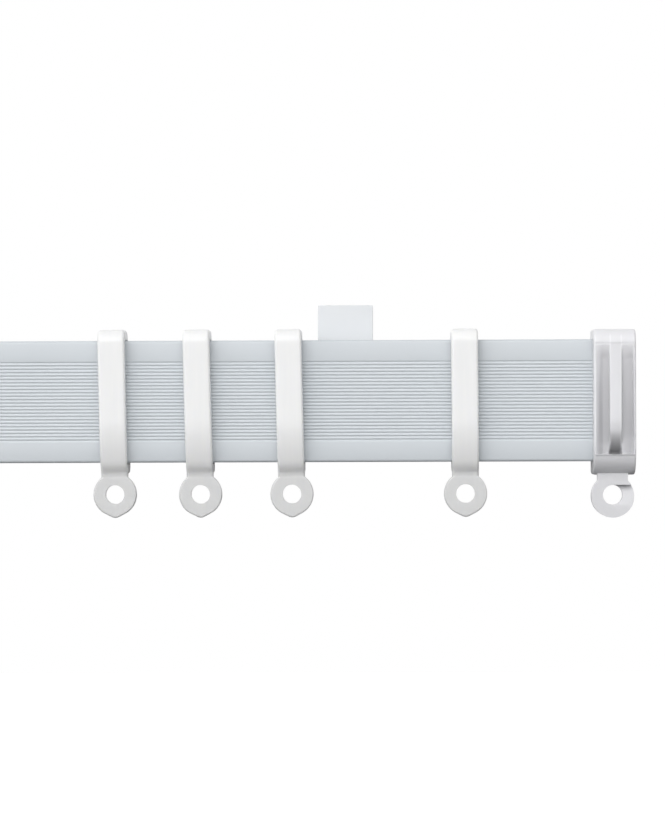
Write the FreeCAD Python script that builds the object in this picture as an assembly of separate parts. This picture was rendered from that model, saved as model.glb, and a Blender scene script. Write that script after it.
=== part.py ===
import FreeCAD, Part
import math
import os

# White curtain track: a fluted plastic rail, the gliders that hang on it, a stop
# at each end and two brackets that carry it from a wall or a ceiling.
#
# Millimetres. X runs along the rail, the wall is the plane y = 0 and the rail
# stands in front of it at negative y, Z is up. The origin is on the wall, midway
# between the two screw holes of the right-hand bracket.
# Side outlines are drawn as (back, up): back is counted from the face of the rail.

# Rail: an extruded channel, open at the back, with a fluted face
rail_height = 28.0
rail_depth = 8.5
face_wall = 1.3
flange_wall = 1.2
lip_wall = 1.2
lip_reach = 3.0
lip_end_round = 0.4
rail_edge_round = 0.7
rail_inner_round = 0.5
flute_pitch = 0.775
flute_depth = 0.18
flute_count = 24
margin_set_back = 0.4
face_to_wall = 38.0

# Glider: one moulded clip over the rail, with a ring below for the curtain hook
glider_width = 6.15
glider_bar_thickness = 3.3
glider_top_thickness = 2.25
glider_foot_thickness = 2.3
glider_tip_thickness = 1.8
glider_top_round = 3.0
glider_back_round = 2.6
glider_edge_round = 0.7
glider_bend_above = 4.9
glider_bend_round = 24.0
glider_turn_forward = 1.55
glider_turn_below = 0.8
glider_turn_round = 6.0
glider_blend_below = 2.6
glider_blend_round = 2.0
glider_heel_round = 0.8
glider_face_gap = 0.6
glider_top_gap = 0.25
glider_foot_gap = 0.35
glider_back_gap = 0.3
glider_top_hold = 2.0
glider_foot_hold = 1.4

# Ring of the glider
ring_radius = 4.95
ring_hole_radius = 2.15
ring_drop = 7.3
ring_point = 0.4
ring_point_round = 1.8
ring_thickness = 2.2
ring_set_back = 0.2
ring_edge_round = 0.35

# Where each glider stands, and how far it leans on the rail
glider_places = (-127.0, -108.0, -53.5, -34.05, -13.0, 27.4)
glider_leans = (0.4, -0.5, 1.0, 1.3, 1.2, 0.3)

# End stop: one moulding over the rail's end, with a recessed front and an eyelet
stop_width = 9.65
stop_stand_off = 5.0
stop_floor_wall = 1.15
stop_end_wall = 1.4
stop_top_wall = 2.2
stop_foot_wall = 3.05
stop_tip_thickness = 1.8
stop_tip_hold = 2.5
stop_top_round = 3.2
stop_foot_round = 6.5
stop_back_round = 1.5
stop_edge_round = 0.5
stop_rib_width = 3.0
stop_rib_offset = 0.25
stop_rib_edge_round = 0.35
stop_rib_end_round = 6.3
stop_pocket_wall = 0.55
stop_fit = 0.05

# Troughs in the front of the end stop, one each side of the rib
trough_shoulder = 1.6
trough_shoulder_round = 2.1
trough_outer_shoulder = 1.2
trough_outer_round = 1.4
trough_cove = 0.3
trough_below_top = 1.4
trough_top_round = 3.0
trough_ramp = 3.4
trough_ramp_depth = 2.6
trough_ramp_cove = 3.0
trough_above_foot = 1.6
trough_foot_cove = 0.2
trough_skim = 0.02

# Plug of the end stop, inside the rail
stop_plug_length = 6.0
stop_plug_wall = 1.4

# Eyelet of the end stop, whose right limb winds back behind the neck
eyelet_radius = 4.95
eyelet_hole_radius = 2.25
eyelet_neck_width = 7.0
eyelet_offset = 0.34
eyelet_drop = 7.7
eyelet_heel = 0.25
eyelet_thickness = 2.6
eyelet_set_back = -0.8
eyelet_step = 1.8
eyelet_step_above_centre = 2.3

# Brackets: one moulding each, for a wall or a ceiling
bracket_places = (-90.0, 0.0)
bracket_width = 12.7
bracket_rise = 8.3
bracket_front_gap = 1.4
bracket_plate = 2.4
bracket_top_round = 0.45
bracket_web = 1.8
wall_plate = 2.6
wall_plate_width = 32.0
wall_plate_height = 16.0
wall_plate_round = 3.0
wall_ear_round = 1.5
wall_hole_spacing = 22.0
screw_hole_radius = 2.1
ceiling_hole_back = 25.0
web_arch_top = 11.5
web_front_foot = 1.5
web_leg = 3.1
web_arch_round = 5.0
web_foot_round = 1.0
neck_width = 11.2
neck_fit = 0.05
hook_thickness = 2.0
hook_hold = 1.45
hook_foot = 1.0
hook_front_round = 0.7
hook_back_round = 0.4
lip_gap = 0.25

# Turn lock in each bracket: lever and shaft in one, a cam, and the screw that holds it
shaft_radius = 2.4
shaft_clearance = 0.05
shaft_drop = 4.6
lever_thickness = 2.4
lever_hub_radius = 4.2
lever_length = 17.0
lever_root_width = 7.0
lever_end_width = 5.4
lever_end_round = 2.3
lever_gap = 0.2
thumb_rib_count = 3
thumb_rib_width = 0.7
thumb_rib_height = 0.5
thumb_rib_pitch = 1.6
thumb_rib_length = 3.1
cam_thickness = 1.8
cam_hub_radius = 3.4
cam_root_width = 6.4
cam_nose_width = 5.2
cam_nose_round = 1.2
cam_hold = 1.4
spigot_width = 3.0
spigot_clearance = 0.05
cam_neck_gap = 0.1
cam_screw_radius = 0.8
cam_screw_clearance = 0.05
cam_screw_length = 5.0
cam_screw_head_radius = 2.0
cam_screw_head_height = 1.2
cam_screw_head_round = 0.6
cam_screw_slot_width = 0.5
cam_screw_slot_depth = 0.5

# Places that several pieces share
face_y = -face_to_wall
rail_top = rail_height / 2
lip_edge = rail_top - lip_reach
lip_inside = rail_depth - lip_wall
stop_outer_reach = 66.4
rail_end_gap = 0.2
passage_round = 0.35
past = 1.0
tiny = 0.001


def side_point(back, up):
    """Point of a side outline, in the plane across the rail."""
    return FreeCAD.Vector(0, face_y + back, up)


def front_point(across, up):
    """Point of an outline seen from the front."""
    return FreeCAD.Vector(across, face_y, up)


def plan_point(across, back):
    """Point of an outline seen from above."""
    return FreeCAD.Vector(across, face_y + back, 0)


def rounded_face(corners, to_point):
    """Closed face through corners (a, b, radius), each corner rounded by its radius."""
    points = [to_point(a, b) for a, b, radius in corners]
    arcs = []
    for index, (a, b, radius) in enumerate(corners):
        corner = points[index]
        before = (points[index - 1] - corner).normalize()
        after = (points[(index + 1) % len(points)] - corner).normalize()
        half_turn = before.getAngle(after) / 2
        bisector = (before + after).normalize()
        run = radius / math.tan(half_turn)
        middle = corner + bisector * (radius / math.sin(half_turn) - radius)
        arcs.append((corner + before * run, middle, corner + after * run, radius))
    edges = []
    for index, (start, middle, end, radius) in enumerate(arcs):
        if radius > 0:
            edges.append(Part.Arc(start, middle, end).toShape())
        following = arcs[(index + 1) % len(arcs)][0]
        if (following - end).Length > 1e-6:
            edges.append(Part.LineSegment(end, following).toShape())
    return Part.Face(Part.Wire(edges))


def run_of_round(before, corner, after, radius):
    """How much of its two sides the round of a corner (back, up) takes."""
    place = side_point(*corner)
    half_turn = (side_point(*before) - place).getAngle(side_point(*after) - place) / 2
    return radius / math.tan(half_turn)


def along_rail(corners, left, right):
    """Prism of a side outline between two places along the rail."""
    solid = rounded_face(corners, side_point).extrude(FreeCAD.Vector(right - left, 0, 0))
    solid.translate(FreeCAD.Vector(left, 0, 0))
    return solid


def front_to_back(corners, front, back):
    """Prism of a front outline between two depths behind the rail's face."""
    solid = rounded_face(corners, front_point).extrude(FreeCAD.Vector(0, back - front, 0))
    solid.translate(FreeCAD.Vector(0, front, 0))
    return solid


def upright(corners, bottom, top):
    """Prism of a plan outline between two heights."""
    solid = rounded_face(corners, plan_point).extrude(FreeCAD.Vector(0, 0, top - bottom))
    solid.translate(FreeCAD.Vector(0, 0, bottom))
    return solid


def block(left, right, front, back, bottom, top):
    """Plain block, its depths counted from the rail's face."""
    corner = FreeCAD.Vector(left, face_y + front, bottom)
    return Part.makeBox(right - left, back - front, top - bottom, corner)


def rod(radius, across, up, front, back):
    """Round rod along the depth axis."""
    start = FreeCAD.Vector(across, face_y + front, up)
    return Part.makeCylinder(radius, back - front, start, FreeCAD.Vector(0, 1, 0))


def cross_rod(radius, back, up, left, right):
    """Round rod along the rail."""
    start = FreeCAD.Vector(left, face_y + back, up)
    return Part.makeCylinder(radius, right - left, start, FreeCAD.Vector(1, 0, 0))


def rounded_sides(solid, radius):
    """Round every edge of the solid's left and right faces."""
    box = solid.BoundBox
    edges = [edge for edge in solid.Edges
             if edge.BoundBox.XMax < box.XMin + tiny or edge.BoundBox.XMin > box.XMax - tiny]
    return solid.makeFillet(radius, edges)


def stop_inner_edges():
    """Where the two end stops begin, seen from the middle of the rail."""
    left_reach = bracket_places[0] + bracket_places[-1] - stop_outer_reach
    return left_reach + stop_width, stop_outer_reach - stop_width


def track():
    """Extruded channel; its face has a band of V-shaped flutes and margins that lean back."""
    stop_left, stop_right = stop_inner_edges()
    overlap = stop_width - stop_end_wall - rail_end_gap
    band_top = flute_count * flute_pitch / 2
    corners = [(margin_set_back, rail_top, rail_edge_round)]
    for index in range(flute_count):
        start = band_top - index * flute_pitch
        corners.append((0, start, 0))
        corners.append((flute_depth, start - flute_pitch / 2, 0))
    corners += [
        (0, -band_top, 0),
        (margin_set_back, -rail_top, rail_edge_round),
        (rail_depth, -rail_top, rail_edge_round),
        (rail_depth, -lip_edge, lip_end_round),
        (lip_inside, -lip_edge, lip_end_round),
        (lip_inside, flange_wall - rail_top, rail_inner_round),
        (face_wall, flange_wall - rail_top, rail_inner_round),
        (face_wall, rail_top - flange_wall, rail_inner_round),
        (lip_inside, rail_top - flange_wall, rail_inner_round),
        (lip_inside, lip_edge, lip_end_round),
        (rail_depth, lip_edge, lip_end_round),
        (rail_depth, rail_top, rail_edge_round),
    ]
    return along_rail(corners, stop_left - overlap, stop_right + overlap)


def rail_passage(left, right, face_gap, top_gap, foot_gap, back_gap, top_hold, foot_hold):
    """Space that a clip leaves for the rail, open at the back between its two tips."""
    top = rail_top + top_gap
    foot = -rail_top - foot_gap
    behind = rail_depth + back_gap
    open_back = rail_depth * 2
    corners = [
        (-face_gap, top, passage_round),
        (behind, top, passage_round),
        (behind, rail_top - top_hold, 0),
        (open_back, rail_top - top_hold, 0),
        (open_back, foot_hold - rail_top, 0),
        (behind, foot_hold - rail_top, 0),
        (behind, foot, passage_round),
        (-face_gap, foot, passage_round),
    ]
    return along_rail(corners, left, right)


def glider_ring():
    """Flat ring drawn out to a small rounded point at its lowest spot."""
    centre_up = -rail_top - ring_drop
    tip_up = centre_up - ring_radius - ring_point + ring_point_round
    lean = math.acos((ring_radius - ring_point_round) / (centre_up - tip_up))
    across = math.sin(lean)
    down = math.cos(lean)
    ring_side = ring_radius * across
    ring_low = centre_up - ring_radius * down
    tip_side = ring_point_round * across
    tip_low = tip_up - ring_point_round * down
    outline = Part.Wire([
        Part.Arc(front_point(-ring_side, ring_low), front_point(0, centre_up + ring_radius),
                 front_point(ring_side, ring_low)).toShape(),
        Part.LineSegment(front_point(ring_side, ring_low), front_point(tip_side, tip_low)).toShape(),
        Part.Arc(front_point(tip_side, tip_low), front_point(0, tip_up - ring_point_round),
                 front_point(-tip_side, tip_low)).toShape(),
        Part.LineSegment(front_point(-tip_side, tip_low), front_point(-ring_side, ring_low)).toShape(),
    ])
    ring = Part.Face(outline).extrude(FreeCAD.Vector(0, ring_thickness, 0))
    ring = ring.makeFillet(ring_edge_round, [edge for edge in ring.Edges if not is_across(edge)])
    ring.translate(FreeCAD.Vector(0, ring_set_back, 0))
    return ring


def is_across(edge):
    """True for an edge that runs from front to back."""
    ends = [vertex.Point for vertex in edge.Vertexes]
    return len(ends) == 2 and abs(ends[0].y - ends[1].y) > 1e-6


def glider():
    """Clip whose bar bends back under the rail's face into the ring, hooked over the rail and under it."""
    front = -glider_face_gap - glider_bar_thickness
    back = rail_depth + glider_back_gap + glider_tip_thickness
    top = rail_top + glider_top_gap + glider_top_thickness
    foot = -rail_top - glider_foot_gap - glider_foot_thickness
    centre_up = -rail_top - ring_drop
    ring_back = ring_set_back + ring_thickness
    blend = (ring_set_back, -rail_top - glider_blend_below)
    turn = (-glider_turn_forward, -rail_top - glider_turn_below)
    bend = (front, glider_bend_above - rail_top)
    slope = math.dist(turn, bend) - run_of_round(blend, turn, bend, glider_turn_round)
    bend_room = slope / run_of_round(turn, bend, (front, top), 1.0)
    body = along_rail([
        (front, top, glider_top_round),
        (back, top, glider_back_round),
        (back, foot, glider_back_round),
        (ring_back, foot, glider_heel_round),
        (ring_back, centre_up, 0),
        (ring_set_back, centre_up, 0),
        (*blend, glider_blend_round),
        (*turn, glider_turn_round),
        (*bend, min(glider_bend_round, bend_room)),
    ], -glider_width / 2, glider_width / 2)
    body = rounded_sides(body, glider_edge_round)
    body = body.cut(rail_passage(
        -glider_width, glider_width, glider_face_gap, glider_top_gap, glider_foot_gap,
        glider_back_gap, glider_top_hold, glider_foot_hold))
    hole = rod(ring_hole_radius, 0, centre_up, ring_set_back - past, ring_back + past)
    return body.fuse(glider_ring()).cut(hole).removeSplitter()


def placed_glider(place, lean):
    """Glider at its place, leaning about the top of the rail."""
    piece = glider()
    piece.rotate(FreeCAD.Vector(0, face_y, rail_top), FreeCAD.Vector(0, 1, 0), -lean)
    piece.translate(FreeCAD.Vector(place, 0, 0))
    return piece


def stop_troughs():
    """Two troughs that fall towards the rib, and the pocket below the rib's rounded end."""
    outside = -stop_stand_off - past
    skim = -stop_stand_off - trough_skim
    floor = -stop_fit - stop_floor_wall
    rib_left = (stop_width - stop_rib_width) / 2 + stop_rib_offset
    rib_right = rib_left + stop_rib_width
    trough_top = rail_top - trough_below_top
    trough_foot = trough_above_foot - rail_top
    from_above = upright([
        (-past, outside, 0),
        (-past, skim, 0),
        (trough_shoulder, skim, trough_shoulder_round),
        (rib_left, floor, trough_cove),
        (rib_left, skim, stop_rib_edge_round),
        (rib_right, skim, stop_rib_edge_round),
        (rib_right, floor, trough_cove),
        (stop_width - trough_outer_shoulder, skim, trough_outer_round),
        (stop_width + past, skim, 0),
        (stop_width + past, outside, 0),
    ], -rail_top, rail_top)
    from_the_side = along_rail([
        (outside, rail_top, 0),
        (skim, rail_top, 0),
        (skim, trough_top, trough_top_round),
        (trough_ramp_depth - stop_stand_off, trough_top - trough_ramp, trough_ramp_cove),
        (floor, trough_foot, trough_foot_cove),
        (outside, trough_foot, 0),
    ], -past, stop_width + past)
    round_up = stop_rib_end_round + trough_foot
    pocket = block(rib_left, rib_right, outside, -stop_fit - stop_pocket_wall, trough_foot, round_up)
    rib_end = cross_rod(stop_rib_end_round, stop_rib_end_round - stop_stand_off, round_up,
                        rib_left, rib_right)
    return [from_above.common(from_the_side), pocket.cut(rib_end)]


def stop_plug():
    """Open-backed plug inside the rail's channel, standing on the end wall."""
    height = rail_top - flange_wall - stop_fit
    front = face_wall + stop_fit
    back = lip_inside - stop_fit
    right = stop_width - stop_end_wall
    left = right - stop_plug_length
    outer = along_rail([
        (front, height, rail_inner_round),
        (back, height, rail_inner_round),
        (back, -height, rail_inner_round),
        (front, -height, rail_inner_round),
    ], left, right)
    hollow = block(left - past, right, front + stop_plug_wall, back + past,
                   stop_plug_wall - height, height - stop_plug_wall)
    return outer.cut(hollow)


def stop_eyelet():
    """Round eyelet; its right limb starts set back under the neck and ramps forward."""
    centre = stop_width / 2 - eyelet_offset
    hole_up = -rail_top - eyelet_drop
    back = eyelet_set_back + eyelet_thickness
    disc = rod(eyelet_radius, centre, hole_up - eyelet_heel, eyelet_set_back, back)
    neck = block(centre - eyelet_neck_width / 2, centre + eyelet_neck_width / 2, eyelet_set_back, back,
                 hole_up, past - rail_top - stop_fit - stop_foot_wall)
    hole = rod(eyelet_hole_radius, centre, hole_up, eyelet_set_back - past, back + past)
    step_up = hole_up + eyelet_step_above_centre
    ramp = along_rail([
        (eyelet_set_back, step_up, 0),
        (eyelet_set_back + eyelet_step, step_up, 0),
        (eyelet_set_back, hole_up - eyelet_hole_radius, 0),
    ], centre, centre + eyelet_radius)
    return disc.fuse(neck).cut([hole, ramp])


def end_stop():
    """End stop for the right-hand end, its inner edge at x = 0."""
    back = rail_depth + stop_fit + stop_tip_thickness
    top = rail_top + stop_fit + stop_top_wall
    foot = -rail_top - stop_fit - stop_foot_wall
    body = along_rail([
        (-stop_stand_off, top, stop_top_round),
        (back, top, stop_back_round),
        (back, foot, stop_back_round),
        (-stop_stand_off, foot, stop_foot_round),
    ], 0, stop_width)
    body = rounded_sides(body, stop_edge_round)
    body = body.cut(rail_passage(
        -stop_width, stop_width - stop_end_wall, stop_fit, stop_fit, stop_fit,
        stop_fit, stop_tip_hold, stop_tip_hold))
    body = body.cut(stop_troughs())
    return body.fuse([stop_plug(), stop_eyelet()]).removeSplitter()


def right_end_stop():
    """End stop at its place on the right-hand end."""
    piece = end_stop()
    piece.translate(FreeCAD.Vector(stop_inner_edges()[1], 0, 0))
    return piece


def left_end_stop():
    """Mirror image for the left-hand end."""
    piece = end_stop().mirror(FreeCAD.Vector(0, 0, 0), FreeCAD.Vector(1, 0, 0))
    piece.translate(FreeCAD.Vector(stop_inner_edges()[0], 0, 0))
    return piece


def bracket_front():
    """Depth of the bracket's front plate, clear of the gliders that pass it."""
    return rail_depth + glider_back_gap + glider_tip_thickness + bracket_front_gap


def bracket_plates():
    """Front plate, top plate and the eared plate that lies on the wall."""
    half = bracket_width / 2
    top = rail_top + bracket_rise
    front = bracket_front()
    ear = wall_plate_width / 2
    ear_up = wall_plate_height / 2
    front_plate = front_to_back([
        (-half, neck_fit - lip_edge, 0),
        (half, neck_fit - lip_edge, 0),
        (half, top, bracket_top_round),
        (-half, top, bracket_top_round),
    ], front, front + bracket_plate)
    top_plate = block(-half, half, front + bracket_plate / 2, face_to_wall, top - bracket_plate, top)
    wall_face = front_to_back([
        (-ear, -ear_up, wall_plate_round),
        (ear, -ear_up, wall_plate_round),
        (ear, ear_up, wall_plate_round),
        (half, ear_up, wall_ear_round),
        (half, top, 0),
        (-half, top, 0),
        (-half, ear_up, wall_ear_round),
        (-ear, ear_up, wall_plate_round),
    ], face_to_wall - wall_plate, face_to_wall)
    return [front_plate, top_plate, wall_face]


def bracket_webs():
    """Two side webs under the top plate, arched so that a screwdriver gets in."""
    half = bracket_width / 2
    top = rail_top + bracket_rise
    front = bracket_front() + bracket_plate / 2
    back = face_to_wall - wall_plate / 2
    foot = -wall_plate_height / 2 + wall_plate_round
    outline = [
        (front, web_front_foot, 0),
        (front, top - bracket_plate / 2, 0),
        (back, top - bracket_plate / 2, 0),
        (back, foot, 0),
        (back - web_leg, foot, web_foot_round),
        (back - web_leg, web_arch_top, web_arch_round),
        (front + web_leg, web_arch_top, web_arch_round),
        (front + web_leg, web_front_foot, web_foot_round),
    ]
    return [along_rail(outline, -half, bracket_web - half), along_rail(outline, half - bracket_web, half)]


def bracket_jaw():
    """Neck through the back of the rail, with a fixed hook behind the upper lip."""
    half = neck_width / 2
    neck_front = lip_inside - lip_gap + neck_fit
    neck_top = lip_edge - neck_fit
    hook_front = neck_front - hook_thickness
    neck = block(-half, half, neck_front, bracket_front() + bracket_plate / 2, -neck_top, neck_top)
    hook = along_rail([
        (hook_front, hook_foot, 0),
        (neck_front + neck_fit, hook_foot, 0),
        (neck_front + neck_fit, neck_top, 0),
        (lip_inside - lip_gap, neck_top, 0),
        (lip_inside - lip_gap, lip_edge + hook_hold, hook_back_round),
        (hook_front, lip_edge + hook_hold, hook_front_round),
    ], -half, half)
    return [neck, hook]


def bracket():
    """Whole bracket moulding, with its screw holes and the bore of the turn lock."""
    pieces = bracket_plates() + bracket_webs() + bracket_jaw()
    body = pieces[0].fuse(pieces[1:])
    top = rail_top + bracket_rise
    holes = [rod(shaft_radius + shaft_clearance, 0, -shaft_drop, 0, bracket_front() + bracket_plate + past)]
    for side in (-0.5, 0.5):
        holes.append(rod(screw_hole_radius, side * wall_hole_spacing, 0,
                         face_to_wall - wall_plate - past, face_to_wall + past))
    start = FreeCAD.Vector(0, face_y + ceiling_hole_back, top - bracket_plate - past)
    holes.append(Part.makeCylinder(screw_hole_radius, bracket_plate + 2 * past, start))
    return body.cut(holes).removeSplitter()


def lock_depths():
    """Depths of the turn lock: cam front, cam back, lever front."""
    cam_back = lip_inside - lip_gap + neck_fit - cam_neck_gap
    return cam_back - cam_thickness, cam_back, bracket_front() + bracket_plate + lever_gap


def locking_lever():
    """Lever, shaft and square spigot in one moulding; it lies along the rail when locked."""
    cam_front, cam_back, lever_front = lock_depths()
    lever_back = lever_front + lever_thickness
    arm = front_to_back([
        (0, -shaft_drop - lever_root_width / 2, 0),
        (lever_length, -shaft_drop - lever_end_width / 2, lever_end_round),
        (lever_length, -shaft_drop + lever_end_width / 2, lever_end_round),
        (0, -shaft_drop + lever_root_width / 2, 0),
    ], lever_front, lever_back)
    hub = rod(lever_hub_radius, 0, -shaft_drop, lever_front, lever_back)
    shaft = rod(shaft_radius, 0, -shaft_drop, cam_back, lever_front + lever_thickness / 2)
    half = spigot_width / 2
    spigot = block(-half, half, cam_front + spigot_clearance, cam_back + past,
                   -shaft_drop - half, half - shaft_drop)
    body = arm.fuse([hub, shaft, spigot] + thumb_ribs(lever_back))
    pilot_end = cam_front + cam_screw_length + cam_screw_clearance
    pilot = rod(cam_screw_radius + cam_screw_clearance, 0, -shaft_drop, cam_front - past, pilot_end)
    return body.cut(pilot).removeSplitter()


def thumb_ribs(back):
    """Short grip ribs across the end of the lever."""
    half = thumb_rib_length / 2
    last = lever_length - lever_end_round
    ribs = []
    for index in range(thumb_rib_count):
        right = last - index * thumb_rib_pitch
        ribs.append(block(right - thumb_rib_width, right, back - thumb_rib_height, back + thumb_rib_height,
                          -shaft_drop - half, half - shaft_drop))
    return ribs


def locking_cam():
    """Cam on the spigot; its nose reaches behind the lower lip."""
    cam_front, cam_back = lock_depths()[:2]
    nose_up = -lip_edge - cam_hold
    nose = front_to_back([
        (-cam_root_width / 2, -shaft_drop, 0),
        (-cam_nose_width / 2, nose_up, cam_nose_round),
        (cam_nose_width / 2, nose_up, cam_nose_round),
        (cam_root_width / 2, -shaft_drop, 0),
    ], cam_front, cam_back)
    body = nose.fuse(rod(cam_hub_radius, 0, -shaft_drop, cam_front, cam_back))
    half = spigot_width / 2 + spigot_clearance
    socket = block(-half, half, cam_front - past, cam_back + past, -shaft_drop - half, half - shaft_drop)
    return body.cut(socket)


def cam_screw():
    """Slotted pan-head screw that holds the cam on the spigot."""
    cam_front = lock_depths()[0]
    head_front = cam_front - cam_screw_head_height
    shank = rod(cam_screw_radius, 0, -shaft_drop, head_front + cam_screw_head_round,
                cam_front + cam_screw_length)
    head = rod(cam_screw_head_radius, 0, -shaft_drop, head_front, cam_front)
    front_rim = [edge for edge in head.Edges if edge.BoundBox.YMax < face_y + head_front + tiny]
    head = head.makeFillet(cam_screw_head_round, front_rim)
    half = cam_screw_slot_width / 2
    slot = block(-cam_screw_head_radius, cam_screw_head_radius, head_front - past,
                 head_front + cam_screw_slot_depth, -shaft_drop - half, half - shaft_drop)
    return shank.fuse(head).cut(slot).removeSplitter()


def moved(piece, across):
    """The piece shifted along the rail."""
    piece.translate(FreeCAD.Vector(across, 0, 0))
    return piece


def all_pieces():
    """Every separate piece, by name."""
    pieces = {"track": track(), "end_stop_left": left_end_stop(), "end_stop_right": right_end_stop()}
    for number, (place, lean) in enumerate(zip(glider_places, glider_leans), start=1):
        pieces[f"glider_{number}"] = placed_glider(place, lean)
    for side, place in zip(("left", "right"), bracket_places):
        pieces[f"bracket_{side}"] = moved(bracket(), place)
        pieces[f"locking_lever_{side}"] = moved(locking_lever(), place)
        pieces[f"locking_cam_{side}"] = moved(locking_cam(), place)
        pieces[f"cam_screw_{side}"] = moved(cam_screw(), place)
    return pieces


os.makedirs("parts", exist_ok=True)
for name, shape in all_pieces().items():
    shape.exportStep(f"parts/{name}.step")
    print(name, len(shape.Solids), "solid", shape.isValid(), round(shape.Volume, 1), "mm3")
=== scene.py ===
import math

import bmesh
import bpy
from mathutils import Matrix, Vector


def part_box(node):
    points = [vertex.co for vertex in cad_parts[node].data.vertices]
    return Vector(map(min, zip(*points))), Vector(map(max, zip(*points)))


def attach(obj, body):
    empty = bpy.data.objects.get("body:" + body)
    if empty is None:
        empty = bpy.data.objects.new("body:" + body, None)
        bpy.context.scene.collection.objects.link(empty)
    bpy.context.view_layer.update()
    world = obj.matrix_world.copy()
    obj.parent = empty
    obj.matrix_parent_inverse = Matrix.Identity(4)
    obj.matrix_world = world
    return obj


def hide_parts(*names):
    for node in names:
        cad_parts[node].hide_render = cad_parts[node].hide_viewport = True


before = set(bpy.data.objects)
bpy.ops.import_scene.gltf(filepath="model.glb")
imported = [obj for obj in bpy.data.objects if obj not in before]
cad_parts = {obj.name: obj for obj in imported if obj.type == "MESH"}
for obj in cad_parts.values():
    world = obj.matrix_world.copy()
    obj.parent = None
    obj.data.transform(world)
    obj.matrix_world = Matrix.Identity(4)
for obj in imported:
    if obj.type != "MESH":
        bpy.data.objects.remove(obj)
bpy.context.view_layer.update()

# %% [markdown]
# Curtain track
#
# The part is a length of white plastic curtain track with six gliders hooked over it, a stop with an
# eyelet on each end, and two brackets behind it. Its solids come in above as a fixed frame, in metres:
# X runs along the track, Y from its face to the wall and Z up. This script gives every piece its
# finished surface and its plastic, then sets up a plain studio and the camera.
#
# The first thing kept is the size of the frame, because a finish must not change it.

# %% [markdown]
# Units and places
#
# Real sizes read best in millimetres, so one name turns them into Blender's metres. Where a size is
# already in the frame, it is measured there and not written again, so the scene follows the part.

# %% Sizes measured on the frame
mm = 0.001
track_low, track_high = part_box("track")
track_length = track_high.x - track_low.x
track_rise = track_high.z
track_depth = track_high.y - track_low.y
print("track", round(track_length / mm, 1), "mm long,", round(2 * track_rise / mm, 1), "mm high")

# %% [markdown]
# Colours
#
# A colour given as hex is an sRGB value, and a shader wants linear light. The curve between them is
# the same for every finish, so one function does it.

# %% From a hex colour to linear light
def linear(hex_colour):
    """Linear RGBA of an sRGB colour such as e8e8e8."""
    shares = [int(hex_colour[at:at + 2], 16) / 255 for at in (0, 2, 4)]
    return tuple(s / 12.92 if s <= 0.04045 else ((s + 0.055) / 1.055) ** 2.4 for s in shares) + (1.0,)


print("mid grey 808080 is", round(linear("808080")[0], 3), "in linear light")

# %% [markdown]
# Node trees
#
# Materials and Geometry Nodes are both trees of nodes. One small function adds a node, sets its own
# options and feeds its inputs. A feed is a plain value, or a pair of a node and the name of one of its
# outputs, which becomes a link.

# %% Adding a node
def add_node(tree, kind, options=None, feeds=None):
    """One node of a tree, with its options set and its inputs fed."""
    node = tree.nodes.new(kind)
    for option, value in (options or {}).items():
        setattr(node, option, value)
    for socket, value in (feeds or {}).items():
        if isinstance(value, tuple) and isinstance(value[0], bpy.types.Node):
            tree.links.new(value[0].outputs[value[1]], node.inputs[socket])
        else:
            node.inputs[socket].default_value = value
    return node


def start_material(name):
    """An empty material and its tree."""
    material = bpy.data.materials.new(name)
    material.use_nodes = True
    material.node_tree.nodes.clear()
    return material, material.node_tree

# %% [markdown]
# Extruded rigid PVC, for the track
#
# The track is rigid PVC pushed through a steel die and cooled in water. It leaves the die with a satin
# skin, cool white, and with fine draw lines that run the whole length and nowhere across. Noise that is
# stretched along X draws them: about 0.25 mm apart and a few microns deep. A much larger, fainter noise
# moves the colour a little, as the wall's thickness does in a real length. To the eye that is a cool,
# quiet surface beside the brighter gliders.

# %% Material of the track
draw_line_length = 60 * mm
draw_line_spacing = 0.25 * mm
draw_line_depth = 0.004 * mm
colour_patch = 25 * mm
satin_smooth = 0.30
satin_rough = 0.44


def extruded_pvc():
    """Satin cool white PVC with draw lines along X."""
    material, tree = start_material("extruded_rigid_pvc")
    place = add_node(tree, "ShaderNodeTexCoord")
    along = add_node(tree, "ShaderNodeMapping", feeds={
        "Vector": (place, "Object"),
        "Scale": (1 / draw_line_length, 1 / draw_line_spacing, 1 / draw_line_spacing)})
    lines = add_node(tree, "ShaderNodeTexNoise", feeds={
        "Vector": (along, "Vector"), "Scale": 1.0, "Detail": 2.0, "Roughness": 0.5})
    broad = add_node(tree, "ShaderNodeTexNoise", feeds={
        "Vector": (place, "Object"), "Scale": 1 / colour_patch, "Detail": 2.0})
    tint = add_node(tree, "ShaderNodeMix", {"data_type": "RGBA"}, {
        0: (broad, "Fac"), 6: linear("d1d7dc"), 7: linear("d6dbdf")})
    satin = add_node(tree, "ShaderNodeMapRange", feeds={
        "Value": (lines, "Fac"), "To Min": satin_smooth, "To Max": satin_rough})
    relief = add_node(tree, "ShaderNodeBump", feeds={
        "Height": (lines, "Fac"), "Strength": 0.2, "Distance": draw_line_depth})
    surface = add_node(tree, "ShaderNodeBsdfPrincipled", feeds={
        "Base Color": (tint, 2), "Roughness": (satin, "Result"), "Normal": (relief, "Normal"),
        "IOR": 1.54})
    add_node(tree, "ShaderNodeOutputMaterial", feeds={"Surface": (surface, "BSDF")})
    return material


track_pvc = extruded_pvc()
print("made", track_pvc.name)
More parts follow.
